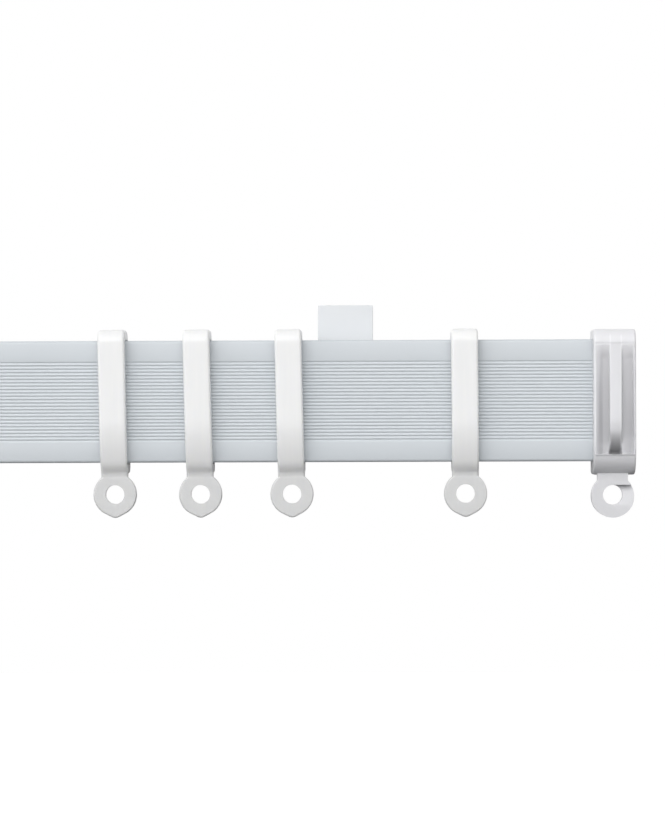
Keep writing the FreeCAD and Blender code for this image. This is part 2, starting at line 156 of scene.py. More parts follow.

# %% [markdown]
# Moulded plastics, for everything else
#
# The gliders are nylon, the end stops and levers acetal and the brackets nylon again, all moulded in
# polished or lightly blasted steel. They share one recipe: a milky white in which light travels about a
# millimetre before it comes out again, a skin that is glossier where the plastic flowed faster, and
# broad shallow unevenness that makes a highlight waver. Two painted shades take some of the white away:
# hollows are painted darker, and the parts below the track, such as the rings, are painted darker. What
# differs is the white, the gloss, the direction of flow and how far those two go, so those are the
# arguments. Each loss of white is a share between 0 and 1, drawn by a soft ramp, and the shares are
# multiplied.

# %% Shares and their product
def ramp_between(tree, node, output, start, end, low=0.0, high=1.0):
    """A soft ramp from low, where the value is at its start, to high at its end."""
    return add_node(tree, "ShaderNodeMapRange", {"interpolation_type": "SMOOTHSTEP"}, {
        "Value": (node, output), "From Min": start, "From Max": end, "To Min": low, "To Max": high})


def product(tree, factors):
    """All the factors multiplied."""
    result = factors[0]
    for factor in factors[1:]:
        result = add_node(tree, "ShaderNodeMath", {"operation": "MULTIPLY"}, {
            0: (result, 0), 1: (factor, 0)})
    return result

# %% Recipe for a moulded plastic
# The first three sizes place the painted shade in hollows, the next two the painted shade below the track.
hollow_reach = 4 * mm
hollow_dark = 0.2
hollow_light = 0.8
low_shade_from = -track_rise - 1.5 * mm
low_shade_over = 2.5 * mm
gloss_fast = -0.05
gloss_slow = 0.07
skin_grain = 0.35 * mm
skin_grain_height = 0.01 * mm
waver_height = 0.05 * mm
light_travel = 1 * mm


def moulded(name, pale, deep, gloss, index, flow, milk, hollow_shade=0.0, low_shade=0.0, painted_light=None):
    """White moulded plastic; flow gives the stretch of its flow marks in mm along X, Y and Z.

    Gloss is the middle roughness of the skin and milk the share of light that travels inside. The next
    share is the white taken by painted shade in a deep hollow, the one after it the white taken by painted
    shade below the track, and the last argument is a function that adds the nodes of one more share, of
    painted shade and painted highlight, from the place.
    """
    material, tree = start_material(name)
    place = add_node(tree, "ShaderNodeTexCoord")
    stretched = add_node(tree, "ShaderNodeMapping", feeds={
        "Vector": (place, "Object"), "Scale": tuple(1 / (length * mm) for length in flow)})
    marks = add_node(tree, "ShaderNodeTexNoise", feeds={
        "Vector": (stretched, "Vector"), "Scale": 1.0, "Detail": 3.0, "Roughness": 0.45})
    tint = add_node(tree, "ShaderNodeMix", {"data_type": "RGBA"}, {
        0: (marks, "Fac"), 6: linear(deep), 7: linear(pale)})
    # Painted shade: the colour is darkened where the ambient occlusion finds a hollow.
    open_sky = add_node(tree, "ShaderNodeAmbientOcclusion", {"only_local": True, "samples": 8}, {
        "Distance": hollow_reach})
    hollow_shade_kept = add_node(tree, "ShaderNodeMapRange", feeds={
        "Value": (open_sky, "AO"), "From Min": hollow_dark, "From Max": hollow_light,
        "To Min": 1.0 - hollow_shade, "To Max": 1.0})
    # Painted shade: everything below the track, the rings among it, is painted darker.
    height = add_node(tree, "ShaderNodeSeparateXYZ", feeds={"Vector": (place, "Object")})
    solid = ramp_between(tree, height, "Z", low_shade_from - low_shade_over, low_shade_from, 1.0 - low_shade, 1.0)
    # The optional last share adds painted shade and painted highlights.
    kept = product(tree, [hollow_shade_kept, solid] + ([painted_light(tree, place)] if painted_light else []))
    white = add_node(tree, "ShaderNodeVectorMath", {"operation": "SCALE"}, {0: (tint, 2), 3: (kept, 0)})
    skin = add_node(tree, "ShaderNodeMapRange", feeds={
        "Value": (marks, "Fac"), "To Min": gloss + gloss_fast, "To Max": gloss + gloss_slow})
    grain = add_node(tree, "ShaderNodeTexNoise", feeds={
        "Vector": (place, "Object"), "Scale": 1 / skin_grain, "Detail": 2.0})
    fine = add_node(tree, "ShaderNodeBump", feeds={
        "Height": (grain, "Fac"), "Strength": 0.15, "Distance": skin_grain_height})
    waver = add_node(tree, "ShaderNodeBump", feeds={
        "Height": (marks, "Fac"), "Strength": 0.35, "Distance": waver_height, "Normal": (fine, "Normal")})
    surface = add_node(tree, "ShaderNodeBsdfPrincipled", {"subsurface_method": "RANDOM_WALK"}, {
        "Base Color": (white, "Vector"), "Roughness": (skin, "Result"), "Normal": (waver, "Normal"),
        "IOR": index, "Subsurface Weight": milk, "Subsurface Scale": light_travel,
        "Subsurface Radius": (1.0, 1.0, 1.1)})
    add_node(tree, "ShaderNodeOutputMaterial", feeds={"Surface": (surface, "BSDF")})
    return material

# %% [markdown]
# Painted shade and highlights in the front of an end stop
#
# The scoops of an end stop and the pocket under its rib are painted greyer than the rim, as painted
# shade, and the edge of the rim and both edges of the rib are painted a little whiter, as a painted
# highlight. The place across is counted from the stop's inner edge, and is the same for both stops
# because it is measured from the middle of the track. Each pair below says where a ramp starts and where it
# ends.

# %% Where the painted shade lies
stop_low, stop_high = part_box("end_stop_right")
track_middle = (track_low.x + track_high.x) / 2
stop_width = 9.65 * mm
rib_from = 3.8 * mm
rib_to = 6.3 * mm
scoop_top = 13.0 * mm
front_foot = -12.4 * mm
# Painted shade: the share of white taken from the scoops.
scoop_shade = 0.21
shade_past_inner_edge = (0.2 * mm, 1.8 * mm)
shade_past_outer_edge = (stop_width, stop_width - 0.8 * mm)
shade_below_top = (scoop_top, scoop_top - 2.5 * mm)
shade_above_foot = (front_foot - 0.3 * mm, front_foot)
shade_behind_skin = (stop_low.y + 0.1 * mm, stop_low.y + 1.2 * mm)
print("the rib is", round((rib_to - rib_from) / mm, 1), "mm wide")

# %% Where the pocket's painted shade and the painted highlight lie
# Painted shade in the pocket under the rib, and a painted highlight along three edges.
pocket_shade = 0.45
pocket_past_left = (rib_from - 0.3 * mm, rib_from + 0.5 * mm)
pocket_past_right = (rib_to + 0.3 * mm, rib_to - 0.5 * mm)
pocket_above_foot = (front_foot - 0.1 * mm, front_foot + 0.1 * mm)
pocket_below_rib = (front_foot + 6 * mm, front_foot + 1 * mm)
edge_highlight = 0.1
edge_highlight_width = 0.3 * mm
highlighted_edges = (0.3 * mm, rib_from, rib_to)
highlight_above_foot = (front_foot + 3 * mm, front_foot + 6 * mm)
highlight_near_skin = (stop_low.y + 1 * mm, stop_low.y + 0.3 * mm)
# These edges carry a painted highlight.
print(len(highlighted_edges), "edges are polished")

# %% The painted shade and highlights of the front
def front_painted_shade(tree, place):
    """Share of white in the front of the end stops, after its painted shade and painted highlights."""
    parts = add_node(tree, "ShaderNodeSeparateXYZ", feeds={"Vector": (place, "Object")})
    aside = add_node(tree, "ShaderNodeMath", {"operation": "SUBTRACT"}, {
        0: (parts, "X"), 1: track_middle})
    outward = add_node(tree, "ShaderNodeMath", {"operation": "ABSOLUTE"}, {0: (aside, "Value")})
    across = add_node(tree, "ShaderNodeMath", {"operation": "SUBTRACT"}, {
        0: (outward, "Value"), 1: stop_high.x - stop_width - track_middle})
    scoops = product(tree, [
        ramp_between(tree, across, "Value", *shade_past_inner_edge),
        ramp_between(tree, across, "Value", *shade_past_outer_edge),
        ramp_between(tree, parts, "Z", *shade_below_top),
        ramp_between(tree, parts, "Z", *shade_above_foot),
        ramp_between(tree, parts, "Y", *shade_behind_skin)])
    pocket = product(tree, [
        ramp_between(tree, across, "Value", *pocket_past_left),
        ramp_between(tree, across, "Value", *pocket_past_right),
        ramp_between(tree, parts, "Z", *pocket_above_foot),
        ramp_between(tree, parts, "Z", *pocket_below_rib)])
    # Painted shade in the scoops and the pocket, then painted highlights on the edges.
    shares = [ramp_between(tree, scoops, 0, 0.0, 1.0, 1.0, 1.0 - scoop_shade),
              ramp_between(tree, pocket, 0, 0.0, 1.0, 1.0, 1.0 - pocket_shade)]
    for edge in highlighted_edges:
        near = product(tree, [
            ramp_between(tree, across, "Value", edge - edge_highlight_width, edge),
            ramp_between(tree, across, "Value", edge + edge_highlight_width, edge),
            ramp_between(tree, parts, "Z", *highlight_above_foot),
            ramp_between(tree, parts, "Y", *highlight_near_skin)])
        shares.append(ramp_between(tree, near, 0, 0.0, 1.0, 1.0, 1.0 + edge_highlight))
    return product(tree, shares)

# %% [markdown]
# The four moulded finishes
#
# Glider nylon is the whitest and the most translucent, and its marks run down the bar from the gate at
# the top. Acetal is a little greyer and harder: the stops flow downward, the levers along their length.
# The brackets are a coarser nylon from a blasted mould, so they are the least glossy.

# %% The four moulded finishes
# Each finish gives the share of its painted shade in hollows and below the track; the stops add painted
# shade and highlights on their front.
glider_nylon = moulded(
    "moulded_nylon_glider", pale="fbfbfa", deep="f4f5f6", gloss=0.30, index=1.53, flow=(0.9, 6, 14),
    milk=0.35, low_shade=0.25)
stop_acetal = moulded(
    "moulded_acetal_end_stop", pale="eeeef1", deep="e7e7ea", gloss=0.30, index=1.48, flow=(2, 4, 9),
    milk=0.15, hollow_shade=0.12, low_shade=0.12, painted_light=front_painted_shade)
bracket_nylon = moulded(
    "moulded_nylon_bracket", pale="e6e8ea", deep="dfe2e5", gloss=0.38, index=1.53, flow=(6, 6, 6),
    milk=0.15, hollow_shade=0.15)
lever_acetal = moulded(
    "moulded_acetal_lever", pale="f1f1ef", deep="ebebe9", gloss=0.32, index=1.48, flow=(8, 3, 2),
    milk=0.15, hollow_shade=0.15)
for finish in (glider_nylon, stop_acetal, bracket_nylon, lever_acetal):
    print("made", finish.name)

# %% [markdown]
# Bright zinc plating, for the little screws
#
# The screw that holds each cam is turned from steel wire and plated. Zinc is a bluish white metal, and
# its brightness is slightly cloudy from the bath: a small noise moves both the colour and the sheen.

# %% Material of the cam screws
cloud_size = 0.6 * mm


def zinc_plate():
    """Bright zinc on turned steel."""
    material, tree = start_material("bright_zinc_plate")
    place = add_node(tree, "ShaderNodeTexCoord")
    cloud = add_node(tree, "ShaderNodeTexNoise", feeds={
        "Vector": (place, "Object"), "Scale": 1 / cloud_size, "Detail": 3.0})
    sheen = add_node(tree, "ShaderNodeMapRange", feeds={
        "Value": (cloud, "Fac"), "To Min": 0.22, "To Max": 0.38})
    tint = add_node(tree, "ShaderNodeMix", {"data_type": "RGBA"}, {
        0: (cloud, "Fac"), 6: linear("c3c6cc"), 7: linear("d6d8dc")})
    surface = add_node(tree, "ShaderNodeBsdfPrincipled", feeds={
        "Base Color": (tint, 2), "Metallic": 1.0, "Roughness": (sheen, "Result")})
    add_node(tree, "ShaderNodeOutputMaterial", feeds={"Surface": (surface, "BSDF")})
    return material


screw_zinc = zinc_plate()
print("made", screw_zinc.name)

# %% [markdown]
# The track's section
#
# An extrusion is one outline pulled straight, so the outline is the whole design. It is drawn flat, X as
# the depth behind the face and Y as the height: a channel with two lips at the back. Each corner is given
# with its radius, and a short function turns it into an arc. The plain margins lean back a little from
# the fluted band, which gets extra points, so that a later step can shape them.

# %% Sizes of the section
face_wall = 1.3 * mm
flange_wall = 1.2 * mm
lip_wall = 1.2 * mm
lip_reach = 3.0 * mm
edge_round = 0.7 * mm
inner_round = 0.5 * mm
lip_round = 0.4 * mm
margin_set_back = 0.4 * mm
flute_pitch = 0.775 * mm
flute_depth = 0.18 * mm
flute_count = 24
points_per_flute = 10
points_per_arc = 6
print("flutes cover", round(flute_count * flute_pitch / mm, 1), "mm of the face")

# %% Outline with rounded corners
def arc_points(before, corner, after, radius):
    """Points of the arc that rounds one corner of an outline."""
    corner = Vector(corner)
    towards = (Vector(before) - corner).normalized()
    away = (Vector(after) - corner).normalized()
    half = towards.angle(away) / 2
    centre = corner + (towards + away).normalized() * radius / math.sin(half)
    first = corner + towards * radius / math.tan(half) - centre
    last = corner + away * radius / math.tan(half) - centre
    turn = first.angle_signed(last)
    return [centre + Matrix.Rotation(-turn * step / points_per_arc, 2) @ first
            for step in range(points_per_arc + 1)]


def track_outline():
    """The closed outline, as (depth, up) points in order."""
    band = flute_count * flute_pitch / 2
    steps = flute_count * points_per_flute
    inside = track_depth - lip_wall
    lip_edge = track_rise - lip_reach
    upper = [
        (margin_set_back, track_rise, edge_round), (track_depth, track_rise, edge_round),
        (track_depth, lip_edge, lip_round), (inside, lip_edge, lip_round),
        (inside, track_rise - flange_wall, inner_round), (face_wall, track_rise - flange_wall, inner_round)]
    corners = upper + [(depth, -up, radius) for depth, up, radius in reversed(upper)]
    points = []
    for at, (depth, up, radius) in enumerate(corners):
        before, after = corners[at - 1][:2], corners[(at + 1) % len(corners)][:2]
        points += arc_points(before, (depth, up), after, radius)
    points += [Vector((0, -band + 2 * band * step / steps)) for step in range(steps + 1)]
    return points


outline = track_outline()
print("outline of", len(outline), "points")

# %% [markdown]
# Flutes by a rule, and the pull
#
# Twenty-four shallow flutes run along the face. On the real die they are one cutter's mark repeated, so
# they are made by a rule and not drawn: Geometry Nodes moves each point of the band back by a cosine of
# its height. The same tree then fills the outline, pulls it to the track's length, closes both ends and
# turns it into place. Its inputs carry the sizes, so the flutes can be made deeper or wider in one spot.

# %% The tree that makes the track
face_tolerance = 0.01 * mm
weld = 0.002 * mm


def fluted_outline(tree, given):
    """Moves the points of the face's band back by a cosine of their height."""
    place = add_node(tree, "GeometryNodeInputPosition")
    parts = add_node(tree, "ShaderNodeSeparateXYZ", feeds={"Vector": (place, "Position")})
    height = add_node(tree, "ShaderNodeMath", {"operation": "ABSOLUTE"}, {0: (parts, "Y")})
    in_band = add_node(tree, "ShaderNodeMath", {"operation": "LESS_THAN"}, {
        0: (height, "Value"), 1: (given, "Band")})
    on_face = add_node(tree, "ShaderNodeMath", {"operation": "LESS_THAN"}, {
        0: (parts, "X"), 1: face_tolerance})
    chosen = add_node(tree, "ShaderNodeMath", {"operation": "MULTIPLY"}, {
        0: (in_band, "Value"), 1: (on_face, "Value")})
    share = add_node(tree, "ShaderNodeMath", {"operation": "DIVIDE"}, {
        0: (parts, "Y"), 1: (given, "Flute Pitch")})
    turn = add_node(tree, "ShaderNodeMath", {"operation": "MULTIPLY"}, {0: (share, "Value"), 1: math.tau})
    wave = add_node(tree, "ShaderNodeMath", {"operation": "COSINE"}, {0: (turn, "Value")})
    hollow = add_node(tree, "ShaderNodeMath", {"operation": "MULTIPLY_ADD"}, {
        0: (wave, "Value"), 1: -0.5, 2: 0.5})
    depth = add_node(tree, "ShaderNodeMath", {"operation": "MULTIPLY"}, {
        0: (hollow, "Value"), 1: (given, "Flute Depth")})
    back = add_node(tree, "ShaderNodeCombineXYZ", feeds={"X": (depth, "Value")})
    return add_node(tree, "GeometryNodeSetPosition", feeds={
        "Geometry": (given, "Outline"), "Selection": (chosen, "Value"), "Offset": (back, "Vector")})


def track_tree():
    """Flutes the outline, fills it, pulls it along and lays it along X."""
    tree = bpy.data.node_groups.new("pulled_track", "GeometryNodeTree")
    tree.interface.new_socket("Outline", in_out="INPUT", socket_type="NodeSocketGeometry")
    for size in ("Flute Pitch", "Flute Depth", "Band", "Length"):
        tree.interface.new_socket(size, in_out="INPUT", socket_type="NodeSocketFloat")
    tree.interface.new_socket("Corner", in_out="INPUT", socket_type="NodeSocketVector")
    tree.interface.new_socket("Plastic", in_out="INPUT", socket_type="NodeSocketMaterial")
    tree.interface.new_socket("Track", in_out="OUTPUT", socket_type="NodeSocketGeometry")
    given = add_node(tree, "NodeGroupInput")
    fluted = fluted_outline(tree, given)
    curve = add_node(tree, "GeometryNodeMeshToCurve", feeds={"Mesh": (fluted, "Geometry")})
    filled = add_node(tree, "GeometryNodeFillCurve", feeds={"Curve": (curve, "Curve")})
    pull = add_node(tree, "ShaderNodeCombineXYZ", feeds={"Z": (given, "Length")})
    pulled = add_node(tree, "GeometryNodeExtrudeMesh", feeds={
        "Mesh": (filled, "Mesh"), "Offset": (pull, "Vector"), "Offset Scale": 1.0, "Individual": False})
    turned_end = add_node(tree, "GeometryNodeFlipFaces", feeds={"Mesh": (filled, "Mesh")})
    joined = add_node(tree, "GeometryNodeJoinGeometry", feeds={"Geometry": (pulled, "Mesh")})
    tree.links.new(turned_end.outputs["Mesh"], joined.inputs["Geometry"])
    closed = add_node(tree, "GeometryNodeMergeByDistance", feeds={
        "Geometry": (joined, "Geometry"), "Distance": weld})
    along_x = Matrix(((0, 0, 1), (1, 0, 0), (0, 1, 0))).to_euler()
    laid = add_node(tree, "GeometryNodeTransform", feeds={
        "Geometry": (closed, "Geometry"), "Translation": (given, "Corner"), "Rotation": along_x})
    real = add_node(tree, "GeometryNodeRealizeInstances", feeds={"Geometry": (laid, "Geometry")})
    painted = add_node(tree, "GeometryNodeSetMaterial", feeds={
        "Geometry": (real, "Geometry"), "Material": (given, "Plastic")})
    add_node(tree, "NodeGroupOutput", feeds={"Track": (painted, "Geometry")})
    return tree


pulled_track = track_tree()
print("tree of", len(pulled_track.nodes), "nodes")

# %% [markdown]
# From a modifier to a plain mesh
#
# The tree runs as a modifier. Its inputs are set by their identifiers before it is first evaluated, the
# result is copied out as a plain mesh, and the modifier goes. Faces that meet at more than a small angle
# are marked sharp, so that curves shade smoothly and corners stay crisp.

# %% Running a tree
def set_inputs(modifier, values):
    """Give a Geometry Nodes modifier its inputs, found by name and set by identifier."""
    for item in modifier.node_group.interface.items_tree:
        if item.item_type == "SOCKET" and item.in_out == "INPUT" and item.name in values:
            modifier[item.identifier] = values[item.name]


def as_plain_object(name, source):
    """The evaluated result of an object as a new object with a plain mesh."""
    result = source.evaluated_get(bpy.context.evaluated_depsgraph_get())
    mesh = bpy.data.meshes.new_from_object(result)
    mesh.name = name
    made = bpy.data.objects.new(name, mesh)
    bpy.context.scene.collection.objects.link(made)
    bpy.data.objects.remove(source)
    return made


def shade(thing, corner_degrees):
    """Smooth shading that stays sharp at corners."""
    thing.data.shade_smooth()
    thing.data.set_sharp_from_angle(angle=math.radians(corner_degrees))

# %% The track
track_smooth_up_to = 40


def make_track():
    """The fluted track, finished, in the place of its solid."""
    mesh = bpy.data.meshes.new("track_outline")
    mesh.from_pydata([(p.x, p.y, 0) for p in outline], [
        (at, (at + 1) % len(outline)) for at in range(len(outline))], [])
    blank = bpy.data.objects.new("track_blank", mesh)
    bpy.context.scene.collection.objects.link(blank)
    modifier = blank.modifiers.new("pull", "NODES")
    modifier.node_group = pulled_track
    set_inputs(modifier, {
        "Flute Pitch": flute_pitch, "Flute Depth": flute_depth, "Band": flute_count * flute_pitch / 2,
        "Length": track_length, "Corner": (track_low.x, track_low.y, 0.0), "Plastic": track_pvc})
    made = as_plain_object("fluted_track", blank)
    shade(made, track_smooth_up_to)
    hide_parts("track")
    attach(made, "rail")
    return made


fluted_track = make_track()
print("track of", len(fluted_track.data.polygons), "faces")

# %% [markdown]
# Moulded pieces
#
# A moulded piece never has a truly sharp corner: the steel is polished, so every edge is eased by a tenth
# or two of a millimetre, and that is where the light catches. The solids have their main curves already.
# So each one is copied, its loose triangles are joined and its flat faces cleaned, and a small bevel
# rounds what is still sharp. A weighted normal keeps the flat faces flat in the shading.

# %% Easing the corners of a solid
join_within = 0.0005 * mm
flat_up_to = 0.4
smooth_up_to = 30
corner_from = 35
ease_segments = 2


def eased(node, body, plastic, ease):
    """A copy of a solid with joined faces and eased corners, which stands for it."""
    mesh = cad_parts[node].data.copy()
    shape = bmesh.new()
    shape.from_mesh(mesh)
    bmesh.ops.remove_doubles(shape, verts=shape.verts, dist=join_within)
    bmesh.ops.dissolve_limit(
        shape, angle_limit=math.radians(flat_up_to), verts=shape.verts, edges=shape.edges)
    shape.to_mesh(mesh)
    shape.free()
    mesh.materials.clear()
    mesh.materials.append(plastic)
    piece = bpy.data.objects.new("moulded_" + node, mesh)
    bpy.context.scene.collection.objects.link(piece)
    shade(piece, smooth_up_to)
    corners = piece.modifiers.new("eased_corners", "BEVEL")
    corners.width = ease
    corners.segments = ease_segments
    corners.limit_method = "ANGLE"
    corners.angle_limit = math.radians(corner_from)
    piece.modifiers.new("even_shading", "WEIGHTED_NORMAL")
    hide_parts(node)
    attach(piece, body)
    return piece

# %% The gliders
glider_names = [f"glider_{number}" for number in range(1, 7)]
gliders = [eased(name, name, glider_nylon, 0.12 * mm) for name in glider_names]
print(len(gliders), "gliders")

# %% [markdown]
# The front of an end stop
#
# Two shallow scoops deepen downward beside a rib, and the rib rolls back into a pocket above the foot.
# Such soft hollows come from a hand-finished electrode and have no plain section, so their depth is
# written as a rule over the front: how deep at this place across and up. A run is how far across a slope
# takes to reach its depth, and a ramp is the same downward from the top. A sheet of points follows the
# rule and is closed to a solid. The stop's own hollows are filled first, and the sheet then cuts them
# anew.

# %% Sizes of the front
rib_wall = 0.3 * mm
scoop_from = 0.3 * mm
scoop_left_run = 2.0 * mm
scoop_to = 9.35 * mm
scoop_right_run = 0.5 * mm
share_beside_rib = 0.75
scoop_ramp = 4.0 * mm
scoop_ramp_depth = 1.0 * mm
scoop_depth = 3.0 * mm
foot_wall = 0.12 * mm
rib_roll_from = -4.0 * mm
rib_roll = 9.6 * mm
pocket_depth = 4.3 * mm
front_skim = 0.03 * mm
print("scoops down to", round(scoop_depth / mm, 1), "mm, pocket", round(pocket_depth / mm, 1), "mm")

# %% The rule of the front
def soft_step(value, start, end):
    """0 before the start, 1 past the end, and a soft S between."""
    share = min(max((value - start) / (end - start), 0.0), 1.0)
    return share * share * (3 - 2 * share)


def front_depth(across, up):
    """Depth of an end stop's front below its skin; across is counted from its inner edge."""
    left = soft_step(across, scoop_from, scoop_from + scoop_left_run)
    right = soft_step(across, scoop_to, scoop_to - scoop_right_run)
    right *= share_beside_rib + (1 - share_beside_rib) * soft_step(across, rib_to, scoop_to)
    on_rib = soft_step(across, rib_from - rib_wall, rib_from) * soft_step(across, rib_to + rib_wall, rib_to)
    ramp = scoop_ramp_depth * soft_step(up, scoop_top, scoop_top - scoop_ramp)
    fall = (scoop_depth - scoop_ramp_depth) * max(scoop_top - scoop_ramp - up, 0) / (
        scoop_top - scoop_ramp - front_foot)
    scoop = (ramp + fall) * (left if across < rib_from else right)
    rolled = min(max(rib_roll_from - up, 0), rib_roll)
    rib = min(rib_roll - math.sqrt(rib_roll ** 2 - rolled ** 2), pocket_depth)
    ledge = soft_step(up, front_foot, front_foot + foot_wall)
    return front_skim + ledge * (scoop * (1 - on_rib) + rib * on_rib)


rib_middle = (rib_from + rib_to) / 2
roll = [round(front_depth(rib_middle, up * mm) / mm, 2) for up in (-5, -8, -11)]
print("the rib rolls back", roll, "mm at 5, 8 and 11 mm below the middle")

# %% The sheet and the filler
grid_step = 0.12 * mm
sheet_margin = 0.15 * mm
sheet_front = -1 * mm
filler_depths = (0.02 * mm, 4.7 * mm)
filler_heights = (front_foot - 0.1 * mm, scoop_top - 0.3 * mm)


def new_object(name, points, faces):
    """A plain mesh object from points and faces."""
    mesh = bpy.data.meshes.new(name)
    mesh.from_pydata(points, [], faces)
    made = bpy.data.objects.new(name, mesh)
    bpy.context.scene.collection.objects.link(made)
    return made


def front_sheet(to_world):
    """Closed solid whose back follows the rule of the front."""
    columns = round((scoop_to - scoop_from + 2 * sheet_margin) / grid_step)
    rows = round((scoop_top - front_foot) / grid_step)
    points = []
    for ruled in (True, False):
        for row in range(rows + 1):
            for column in range(columns + 1):
                across = scoop_from - sheet_margin + column * grid_step
                up = front_foot + row * grid_step
                depth = front_depth(across, up) if ruled else sheet_front
                points.append(to_world(across, depth, up))
    wide = columns + 1
    layer = wide * (rows + 1)
    faces = []
    for row in range(rows):
        for column in range(columns):
            at = row * wide + column
            faces.append((at, at + wide, at + wide + 1, at + 1))
            faces.append((at + layer, at + layer + 1, at + layer + wide + 1, at + layer + wide))
    for column in range(columns):
        for at, turn in ((column, 1), (rows * wide + column, -1)):
            faces.append((at, at + 1, at + 1 + layer, at + layer)[::turn])
    for row in range(rows):
        for at, turn in ((row * wide, -1), (row * wide + columns, 1)):
            faces.append((at, at + wide, at + wide + layer, at + layer)[::turn])
    return new_object("front_sheet", points, faces)


def front_filler(to_world):
    """Block that fills the hollows of the solid's front."""
    corners = [(across, depth, up) for across in (scoop_from, scoop_to)
               for depth in filler_depths for up in filler_heights]
    faces = [(0, 1, 3, 2), (4, 6, 7, 5), (0, 4, 5, 1), (2, 3, 7, 6), (0, 2, 6, 4), (1, 5, 7, 3)]
    return new_object("front_filler", [to_world(*corner) for corner in corners], faces)

# %% Cutting the front
def outward(thing):
    """Make all faces of a closed mesh look outward."""
    shape = bmesh.new()
    shape.from_mesh(thing.data)
    bmesh.ops.recalc_face_normals(shape, faces=shape.faces)
    shape.to_mesh(thing.data)
    shape.free()


def combined(piece, other, operation):
    """Apply the piece's modifiers and one exact boolean, and remove the other object."""
    step = piece.modifiers.new("combine", "BOOLEAN")
    step.operation = operation
    step.solver = "EXACT"
    step.object = other
    result = piece.evaluated_get(bpy.context.evaluated_depsgraph_get())
    mesh = bpy.data.meshes.new_from_object(result)
    piece.modifiers.clear()
    piece.data = mesh
    bpy.data.objects.remove(other)

# %% The end stops
def end_stop(side):
    """End stop with its corners eased and its front cut by the rule."""
    piece = eased(f"end_stop_{side}", "rail", stop_acetal, 0.18 * mm)
    low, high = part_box(f"end_stop_{side}")
    inner = high.x - stop_width if side == "right" else low.x + stop_width
    out = 1 if side == "right" else -1

    def to_world(across, depth, up):
        return (inner + out * across, low.y + depth, up)

    for other, operation in ((front_filler(to_world), "UNION"), (front_sheet(to_world), "DIFFERENCE")):
        outward(other)
        combined(piece, other, operation)
    shade(piece, smooth_up_to)
    piece.modifiers.new("even_shading", "WEIGHTED_NORMAL")
    return piece


end_stops = [end_stop(side) for side in ("left", "right")]
print("end stops of", [len(piece.data.polygons) for piece in end_stops], "faces")

# %% [markdown]
# The brackets and their locks
#
# They hang behind the track, so little of them shows from the front. Each is one moulding, and its lock
# is three small pieces that turn together: the lever with its shaft, the cam and the screw. They take
# the same easing as the rest, finer where the piece is finer.

# %% The brackets and their locks
brackets = [eased(f"bracket_{side}", "rail", bracket_nylon, 0.2 * mm)
            for side in ("left", "right")]
for side in ("left", "right"):
    eased(f"locking_lever_{side}", f"lock_{side}", lever_acetal, 0.15 * mm)
    eased(f"locking_cam_{side}", f"lock_{side}", lever_acetal, 0.1 * mm)
    eased(f"cam_screw_{side}", f"lock_{side}", screw_zinc, 0.04 * mm)
print(len(brackets), "brackets")

# %% [markdown]
# The studio
#
# White plastic on a white ground only reads if the light comes from somewhere. Here it comes from a tent:
# a wide band of light in front, brightest a little above the level of the track, stronger on the left,
# faint overhead and half as strong behind. Such a light leaves wide gentle shadows on both sides of the
# gliders, darkens every hollow and leaves the undersides in shade. A large soft lamp inside the tent
# adds the faint highlights along the edges.
#
# The ground is white to the camera only: as a light it is kept low, or the undersides would lose their
# shade. The floor lies well below, because the track hangs, and turns white further out, so that no
# horizon shows.

# %% The tent of light
tent_light = 1.76
tent_dark = 0.06
tent_side = -0.35
tent_band = ((-26, 0.0), (8, 1.0), (22, 1.0), (72, 0.15), (110, 0.2), (150, 0.5))


def seen_directly(tree):
    """1 where a ray comes from the camera or through something clear."""
    ray = add_node(tree, "ShaderNodeLightPath")
    return add_node(tree, "ShaderNodeMath", {"operation": "MAXIMUM"}, {
        0: (ray, "Is Camera Ray"), 1: (ray, "Is Transmission Ray")})


def tent_ramp(tree, climb):
    """Brightness of the tent by its climb, whose band is in degrees from straight ahead."""
    place = add_node(tree, "ShaderNodeMapRange", feeds={
        "Value": (climb, "Value"), "From Min": -math.pi, "From Max": math.pi})
    ramp = add_node(tree, "ShaderNodeValToRGB", feeds={"Fac": (place, "Result")})
    ramp.color_ramp.interpolation = "EASE"
    for degrees, share in tent_band:
        stop = ramp.color_ramp.elements.new(0.5 + degrees / 360)
        stop.color = (share, share, share, 1.0)
    ramp.color_ramp.elements[-1].color = stop.color
    return ramp


def light_world():
    """A tent of light, seen as white."""
    world = bpy.data.worlds.new("studio")
    world.use_nodes = True
    tree = world.node_tree
    tree.nodes.clear()
    towards = add_node(tree, "ShaderNodeTexCoord")
    parts = add_node(tree, "ShaderNodeSeparateXYZ", feeds={"Vector": (towards, "Generated")})
    forward = add_node(tree, "ShaderNodeMath", {"operation": "MULTIPLY"}, {0: (parts, "Y"), 1: -1.0})
    climb = add_node(tree, "ShaderNodeMath", {"operation": "ARCTAN2"}, {
        0: (parts, "Z"), 1: (forward, "Value")})
    band = tent_ramp(tree, climb)
    side = add_node(tree, "ShaderNodeMath", {"operation": "MULTIPLY_ADD"}, {
        0: (parts, "X"), 1: tent_side, 2: 1.0})
    share = add_node(tree, "ShaderNodeMath", {"operation": "MULTIPLY"}, {
        0: (band, "Color"), 1: (side, "Value")})
    tent = add_node(tree, "ShaderNodeMath", {"operation": "MULTIPLY_ADD"}, {
        0: (share, "Value"), 1: tent_light, 2: tent_dark})
    seen = seen_directly(tree)
    strength = add_node(tree, "ShaderNodeMix", {"data_type": "FLOAT"}, {
        0: (seen, "Value"), 2: (tent, "Value"), 3: 1.0})
    light = add_node(tree, "ShaderNodeBackground", feeds={
        "Color": linear("ffffff"), "Strength": (strength, 0)})
    add_node(tree, "ShaderNodeOutputWorld", feeds={"Surface": (light, "Background")})
    bpy.context.scene.world = world


light_world()
print("tent brightest from", tent_band[1][0], "to", tent_band[2][0], "degrees up")

# %% The floor
floor_drop = 0.6
floor_half = 8.0
floor_seen = "eeeeee"
floor_unseen = "6c6c6c"
glow_near = 0.35
glow_far = 1.0
white_from = 1.5
white_at = 4.0


